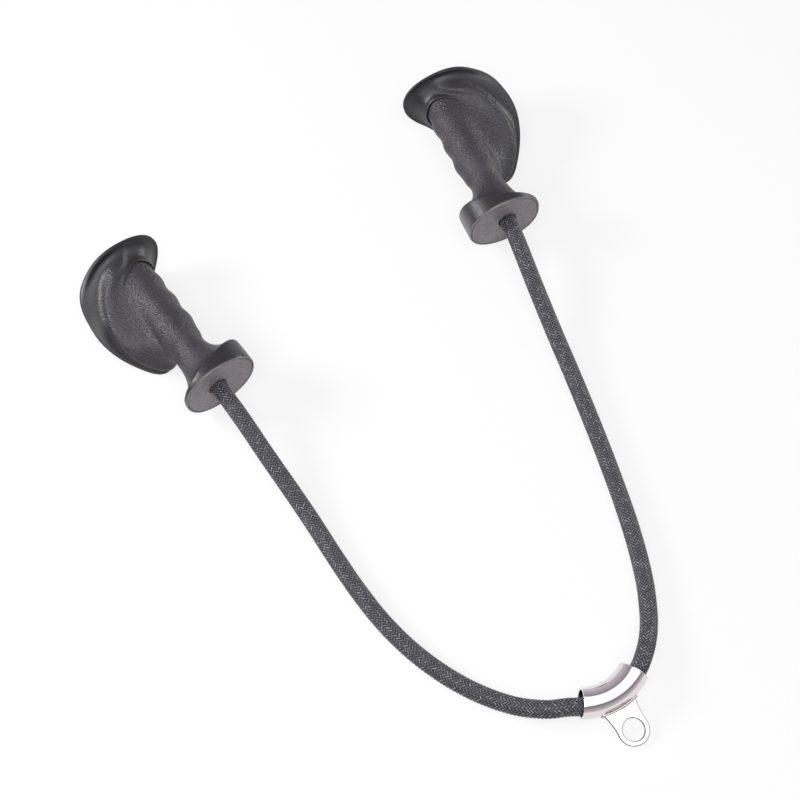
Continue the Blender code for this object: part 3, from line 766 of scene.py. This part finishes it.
def add_node(tree, kind, inputs=None, steps=(), **settings):
    """Add a node with its inputs; steps gives a ramp its places and hex colours."""
    node = tree.nodes.new("ShaderNode" + kind)
    for name, value in settings.items():
        setattr(node, name, value)
    feed(node, inputs or {})
    for index, (place, hex_colour) in enumerate(steps):
        elements = node.color_ramp.elements
        element = elements[index] if index < len(elements) else elements.new(place)
        element.position, element.color = place, linear(hex_colour)
    return node


def new_material(name):
    """A node material with its tree and its Principled shader."""
    material = bpy.data.materials.new(name)
    material.use_nodes = True
    return material, material.node_tree, material.node_tree.nodes["Principled BSDF"]


print("black rubber in linear:", [round(value, 3) for value in linear("312e37")])

# %% [markdown]
# The grips are moulded rubber, a dark charcoal from carbon black, with an IOR of about 1.5. The
# mould was etched with a leathery grain of cells under two millimetres wide. It breaks the
# highlights into sparkles and looks greyer than the smooth areas, which have a soft satin shine. So
# bump and colour both follow the grain number that the cage carries, and where that number falls in
# the trough the darker colour is painted shade. The foot's face and the low side of its wall turn
# to the white floor, and they are painted pale: a painted reflection of the lit floor, with a
# mottle.

# %% Moulded rubber
GRAIN_CELL, GRAIN_DEPTH = 0.0017, 0.0006
WRINKLES_TO_CELL = 1.5
SMOOTH_DEPTH = 0.12           # share of the grain's depth that smooth areas keep
MOTTLE_SIZE, REFLECTION_MOTTLE_SIZE = 0.030, 0.003

moulded_rubber, tree, shader = new_material("moulded_rubber_leather_grain")
place = add_node(tree, "TexCoord").outputs["Object"]
grain_and_painted_shade = add_node(tree, "Attribute", attribute_name="grain").outputs["Fac"]
floor_reflection_mask = add_node(tree, "Attribute", attribute_name="painted_floor_reflection").outputs["Fac"]
cells = add_node(tree, "TexVoronoi", {"Vector": place, "Scale": 1 / GRAIN_CELL},
                 feature="SMOOTH_F1")
wrinkles = add_node(tree, "TexNoise", {"Vector": place, "Scale": WRINKLES_TO_CELL / GRAIN_CELL,
                                       "Detail": 2.0})
relief = add_node(tree, "Math", {0: cells, 1: wrinkles}, operation="ADD")
depth = add_node(tree, "MapRange", {"Value": grain_and_painted_shade, "To Min": SMOOTH_DEPTH})
height = add_node(tree, "Math", {0: relief, 1: depth}, operation="MULTIPLY")
bump = add_node(tree, "Bump", {"Height": height, "Strength": 1.0, "Distance": GRAIN_DEPTH})
mottle = add_node(tree, "TexNoise", {"Vector": place, "Scale": 1 / MOTTLE_SIZE, "Detail": 4.0})
tone = add_node(tree, "ValToRGB", {"Fac": mottle}, [(0.3, "26232b"), (0.7, "312e37")])
# The grained colour is greyer than the smooth one, as a textured mould is. Where the grain number
# falls in the trough, the darker colour is painted shade.
skin = add_node(tree, "Mix", {"Factor": grain_and_painted_shade, "A": linear("1a181d"), "B": tone},
                data_type="RGBA")
# A pale, mottled tone mixed in on the foot: painted reflection of the lit floor.
reflection_mottle = add_node(tree, "TexNoise", {"Vector": place, "Scale": 1 / REFLECTION_MOTTLE_SIZE, "Detail": 3.0})
floor_reflection_tone = add_node(tree, "ValToRGB", {"Fac": reflection_mottle}, [(0.3, "696469"), (0.7, "847e82")])
painted_floor_reflection = add_node(tree, "Mix", {"Factor": floor_reflection_mask, "A": skin.outputs["Result"], "B": floor_reflection_tone},
                 data_type="RGBA")
shine = add_node(tree, "MapRange", {"Value": mottle, "To Min": 0.36, "To Max": 0.44})
feed(shader, {"Base Color": painted_floor_reflection.outputs["Result"], "Roughness": shine, "Normal": bump,
              "IOR": 1.5})
for grip in (left_moulded_grip, right_moulded_grip):
    grip.data.materials.append(moulded_rubber)
print(moulded_rubber.name, "grain cell", GRAIN_CELL / MM, "mm")

# %% [markdown]
# The rope is braided from black polyester filament yarn. Polyester keeps a silky shine along its
# filaments, and some bundles are greyer than others, which gives the lilac flecks. The gaps between
# the bundles, each bundle's edges and the ends where it dives under are painted near black: painted
# shade. The filaments, 0.3 mm apart here, are far finer on the real rope and are drawn this coarse
# so that they show at all.

# %% Braided polyester
FILAMENTS_ACROSS = 8
BANDS_TO_UNIT = pi            # what a wave texture draws at a scale of 1, near enough
FILAMENT_RELIEF = 0.0001

braided_polyester, tree, shader = new_material("braided_polyester_filament_yarn")
strand = add_node(tree, "UVMap", uv_map="strand")
stitch = add_node(tree, "Attribute", attribute_name="stitch_tone")
crest = add_node(tree, "Attribute", attribute_name="crest")
filaments = add_node(tree, "TexWave", {"Vector": strand, "Scale": FILAMENTS_ACROSS / BANDS_TO_UNIT,
                                       "Distortion": 1.2, "Detail": 1.0}, bands_direction="X")
yarn = add_node(tree, "ValToRGB", {"Fac": stitch.outputs["Fac"]},
                [(0.0, "5c5867"), (0.55, "767282"), (1.0, "b0acbe")])
split = add_node(tree, "SeparateXYZ", {"Vector": strand})
# Darker towards each bundle's edges and where its crest is low: painted shade in the gaps.
from_edge = add_node(tree, "Math", {0: split.outputs["X"], 1: 0.5}, operation="PINGPONG")
lit = add_node(tree, "Math", {0: from_edge, 1: crest.outputs["Fac"]}, operation="MULTIPLY")
painted_gap_shade = add_node(tree, "ValToRGB", {"Fac": lit},
               [(0.05, "0b0a0e"), (0.22, "45434b"), (0.38, "ffffff")])
shaded = add_node(tree, "Mix", {"Factor": 1.0, "A": yarn, "B": painted_gap_shade},
                  data_type="RGBA", blend_type="MULTIPLY")
bump = add_node(tree, "Bump", {"Height": filaments.outputs["Fac"], "Strength": 0.5,
                               "Distance": FILAMENT_RELIEF})
feed(shader, {"Base Color": shaded.outputs["Result"], "Normal": bump, "Roughness": 0.55,
              "IOR": 1.55, "Sheen Weight": 0.1})
braided_rope.data.materials.append(braided_polyester)
print(braided_polyester.name, "with", FILAMENTS_ACROSS, "filaments to a bundle")

# %% [markdown]
# The sleeve and the lug are stainless steel, ground and then buffed to a mirror. A buffed surface
# isn't perfect: it has slightly duller patches, where the reflections soften a little. Metal takes
# its look from what it mirrors, so its colour is only a pale warm grey.

# %% Mirror-polished stainless steel
BUFF_PATCH = 0.012

polished_steel, tree, shader = new_material("stainless_steel_mirror_polished")
place = add_node(tree, "TexCoord").outputs["Object"]
patches = add_node(tree, "TexNoise", {"Vector": place, "Scale": 1 / BUFF_PATCH, "Detail": 3.0})
dulled = add_node(tree, "MapRange", {"Value": patches, "To Min": 0.05, "To Max": 0.10})
feed(shader, {"Base Color": linear("e2dcde"), "Roughness": dulled, "Metallic": 1.0})
for piece in (polished_sleeve, polished_lug):
    piece.data.materials.append(polished_steel)
print(polished_steel.name)

# %% [markdown]
# The weld is the same steel, brushed clean but not polished: it keeps its ripples and a duller,
# slightly straw-coloured skin from the heat.

# %% Brushed weld
SKIN_GRAIN, SKIN_RELIEF = 0.0008, 0.0001

weld_steel, tree, shader = new_material("stainless_steel_brushed_weld")
place = add_node(tree, "TexCoord").outputs["Object"]
skin = add_node(tree, "TexNoise", {"Vector": place, "Scale": 1 / SKIN_GRAIN, "Detail": 4.0})
tint = add_node(tree, "ValToRGB", {"Fac": skin}, [(0.3, "98918d"), (0.7, "bcb6b3")])
bump = add_node(tree, "Bump", {"Height": skin, "Strength": 0.3, "Distance": SKIN_RELIEF})
feed(shader, {"Base Color": tint, "Normal": bump, "Metallic": 1.0, "Roughness": 0.28})
lug_weld.data.materials.append(weld_steel)
print(weld_steel.name)

# %% [markdown]
# The lug was cut from plate, and its edges and its eye were ground, not polished. Grinding leaves
# fine marks that scatter the light. The edges are also painted darker than ground steel is, as
# painted shade: it stands for the shaded floor beside the lug that they mirror. One function makes
# such a metal that varies in small marks, because the stops need two more.

# %% Ground edge
GRIT_MARK = 0.0006            # real grit marks are ten times finer and would not show


def marked_metal(name, size, tones, rough, kind="TexNoise", output="Fac", detail=2.0):
    """A metal that varies in marks of that size, between two tones and two roughnesses."""
    material, tree, shader = new_material(name)
    place = add_node(tree, "TexCoord").outputs["Object"]
    texture = add_node(tree, kind, {"Vector": place, "Scale": 1 / size, "Detail": detail})
    marks = texture.outputs[output]
    tint = add_node(tree, "ValToRGB", {"Fac": marks}, tones)
    dulled = add_node(tree, "MapRange", {"Value": marks, "To Min": rough[0], "To Max": rough[1]})
    feed(shader, {"Base Color": tint, "Roughness": dulled, "Metallic": 1.0})
    return material


# The dark tones are partly painted shade: they stand for the shaded floor that the edges mirror.
ground_edge_with_painted_shade = marked_metal("stainless_steel_ground_edge_painted_shade", GRIT_MARK,
                            [(0.3, "57545a"), (0.7, "747177")], (0.26, 0.40))
polished_lug.data.materials.append(ground_edge_with_painted_shade)
print(ground_edge_with_painted_shade.name)

# %% [markdown]
# The washers are zinc plated steel, which shows a cool grey spangle, and the ferrules are aluminium
# tube as it leaves the crimping tool, with fine marks all over. Both sit in the pocket at the top
# of each grip, where only a view from behind finds them.

# %% Zinc plate and crimped aluminium
SPANGLE, TOOL_MARK = 0.0025, 0.0009

zinc_plate = marked_metal("steel_zinc_plated", SPANGLE, [(0.2, "a9adb2"), (0.8, "c4c7ca")],
                          (0.28, 0.44), "TexVoronoi", "Color", 0.0)
crimped_aluminium = marked_metal("aluminium_crimped", TOOL_MARK,
                                 [(0.2, "b4b5b8"), (0.8, "d2d3d5")], (0.26, 0.42))
for hand in ("left", "right"):
    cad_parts[hand + "_stop_washer"].material_slots[0].material = zinc_plate
    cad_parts[hand + "_rope_ferrule"].material_slots[0].material = crimped_aluminium
print("stops:", zinc_plate.name, crimped_aluminium.name)

# %% [markdown]
# The photograph has a pure white ground with only a breath of shadow. The floor is a matt white
# sheet. For rays that come straight from the camera, or bounce off metal, most of it is replaced by
# plain white, and what remains carries the object's own shadow. The world does the same above it.

# %% White ground
FLOOR_HALF = 4.0
SHADOW_SHARE = 0.20
AMBIENT = 0.22
WHITE = (1, 1, 1, 1)

floor_mesh = bpy.data.meshes.new("white_floor")
floor_mesh.from_pydata([(FLOOR_HALF * x, FLOOR_HALF * y, 0)
                        for x, y in ((-1, -1), (1, -1), (1, 1), (-1, 1))], [], [(0, 1, 2, 3)])
white_floor = show("white_floor", floor_mesh)


def seen_directly(tree):
    """1 for rays from the camera, off a shiny surface or through glass, else 0."""
    path = add_node(tree, "LightPath").outputs
    either = add_node(tree, "Math", {0: path["Is Camera Ray"], 1: path["Is Glossy Ray"]},
                      operation="MAXIMUM")
    return add_node(tree, "Math", {0: either, 1: path["Is Transmission Ray"]},
                    operation="MAXIMUM")


floor_paint, tree, shader = new_material("paper_white_matt")
feed(shader, {"Base Color": linear("f2f2f2"), "Roughness": 0.9, "Specular IOR Level": 0.0})
plain_white = add_node(tree, "Emission", {"Color": WHITE, "Strength": 1.0})
share = add_node(tree, "Math", {0: seen_directly(tree), 1: 1 - SHADOW_SHARE}, operation="MULTIPLY")
mixed = add_node(tree, "MixShader", {0: share, 1: shader, 2: plain_white})
feed(tree.nodes["Material Output"], {"Surface": mixed})
floor_mesh.materials.append(floor_paint)

world = bpy.data.worlds.new("white_studio")
bpy.context.scene.world = world
world.use_nodes = True
tree = world.node_tree
tree.nodes.clear()
ambient = add_node(tree, "Background", {"Color": WHITE, "Strength": AMBIENT})
backdrop = add_node(tree, "Background", {"Color": WHITE, "Strength": 1.0})
mixed = add_node(tree, "MixShader", {0: seen_directly(tree), 1: ambient, 2: backdrop})
add_node(tree, "OutputWorld", {"Surface": mixed})
print("floor and world are white")

# %% [markdown]
# One big softbox hangs above and behind the camera, and a smaller one stands low at the left,
# behind the grips, and draws the shine along both columns. What the steel and the satin rubber
# mirror is set with cards, as a photographer does it. A white scrim overhead gives the sleeve its
# one broad white band, toned grey cards stand round the table, and a narrow, very bright strip at
# the right draws the line along the rims. The cards only show in reflections.

# %% Softboxes and cards
SOFTBOX_AIM = Vector((0.0, -0.05, 0.0))
STRIP_STRENGTH = 7.0          # only a twentieth of it comes back from rubber
SCRIM_STRENGTH = 1.4          # steel mirrors three quarters of it, which is just white


def hang_softbox(name, place, size, power):
    """A rectangular area light that faces the object."""
    light = bpy.data.lights.new(name, "AREA")
    light.shape = "RECTANGLE"
    light.size, light.size_y = size
    light.energy = power
    softbox = show(name, light)
    softbox.location = place
    softbox.rotation_euler = (SOFTBOX_AIM - Vector(place)).to_track_quat("-Z", "Y").to_euler()


def hang_card(name, corners, hex_colours, strength=1.0):
    """A plain card that only reflections see, toned from its first edge to its far one."""
    mesh = bpy.data.meshes.new(name)
    mesh.from_pydata(corners, [], [(0, 1, 2, 3)])
    across = mesh.uv_layers.new(name="across")
    for corner, loop in enumerate(across.data):
        loop.uv = (0, 0 if corner < 2 else 1)
    card = show(name, mesh)
    material, tree, _ = new_material(name + "_paint")
    place = add_node(tree, "UVMap", uv_map="across")
    split = add_node(tree, "SeparateXYZ", {"Vector": place})
    tone = add_node(tree, "ValToRGB", {"Fac": split.outputs["Y"]}, zip((0.0, 1.0), hex_colours))
    glow = add_node(tree, "Emission", {"Color": tone, "Strength": strength})
    feed(tree.nodes["Material Output"], {"Surface": glow})
    mesh.materials.append(material)
    card.visible_camera = card.visible_diffuse = card.visible_shadow = False


hang_softbox("overhead_softbox", (-0.45, -0.85, 2.3), (2.2, 2.0), 44)
hang_softbox("left_softbox", (-1.65, 1.15, 1.15), (0.9, 0.6), 40)
hang_card("scrim_card", [(-2.6, -2.5, 2.5), (2.2, -2.5, 2.5), (2.2, 0.6, 2.5), (-2.6, 0.6, 2.5)],
          ("ffffff", "ffffff"), SCRIM_STRENGTH)
hang_card("back_card", [(-4, 2.6, 0.02), (4, 2.6, 0.02), (4, 0.7, 2.6), (-4, 0.7, 2.6)],
          ("e6dce1", "8f8e97"))
for name, x in (("left_card", -3.2), ("right_card", 3.2)):
    hang_card(name, [(x, -3.2, 0.02), (x, 2.6, 0.02), (x, 2.6, 3.0), (x, -3.2, 3.0)],
              ("8c878a", "8b8990"))
hang_card("right_strip", [(2.3, -0.5, 0.15), (2.3, 1.3, 0.15), (2.3, 1.3, 1.0), (2.3, -0.5, 1.0)],
          ("ffffff", "ffffff"), STRIP_STRENGTH)
hang_card("front_card", [(-4, -3.0, 0.02), (4, -3.0, 0.02), (4, -3.0, 2.6), (-4, -3.0, 2.6)],
          ("d9d2d6", "6b696f"))
print("softboxes and cards are up")

# %% [markdown]
# Colours are to come out as they were written, so the view is the plain Standard one.

# %% View and the last line
bpy.context.scene.view_settings.view_transform = "Standard"
